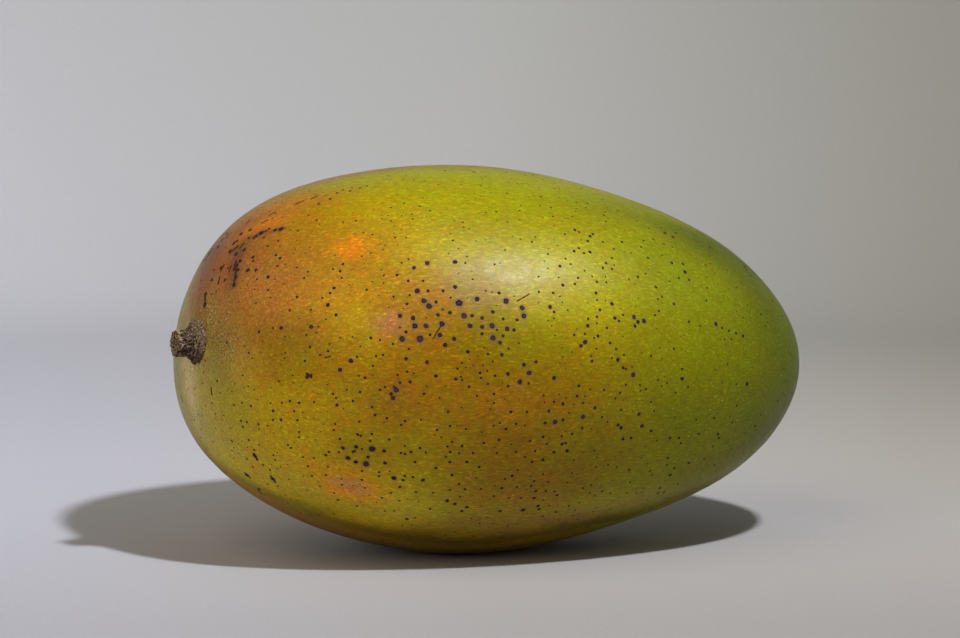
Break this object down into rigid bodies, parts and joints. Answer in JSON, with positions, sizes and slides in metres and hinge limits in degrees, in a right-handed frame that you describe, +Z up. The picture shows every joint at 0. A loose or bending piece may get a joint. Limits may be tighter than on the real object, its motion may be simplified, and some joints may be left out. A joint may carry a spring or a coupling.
{
  "type": "mango",
  "caption": "Whole ripe mango lying on its cheek: a speckled egg-shaped fruit with a short dry stub of its woody stalk, resting on a small flat spot.",
  "frame": {"origin": "on the resting surface, under the middle of the whole object's box", "axes": "+X runs along the fruit from its stalk to its tip, +Y across the fruit's width, +Z up as it lies"},
  "size_m": [0.1364, 0.0866, 0.0813],
  "materials": {
    "skin": "ripe waxy mango skin with a satin sheen: ochre and gold in the middle, rust red on the shoulder, green towards the tip, covered in small dark lenticels",
    "stalk_bark": "dry, wrinkled dark brown bark with a paler broken cut end"
  },
  "bodies": {
    "root": {"fruit": "skin", "stalk": "stalk_bark"}
  },
  "joints": []
}
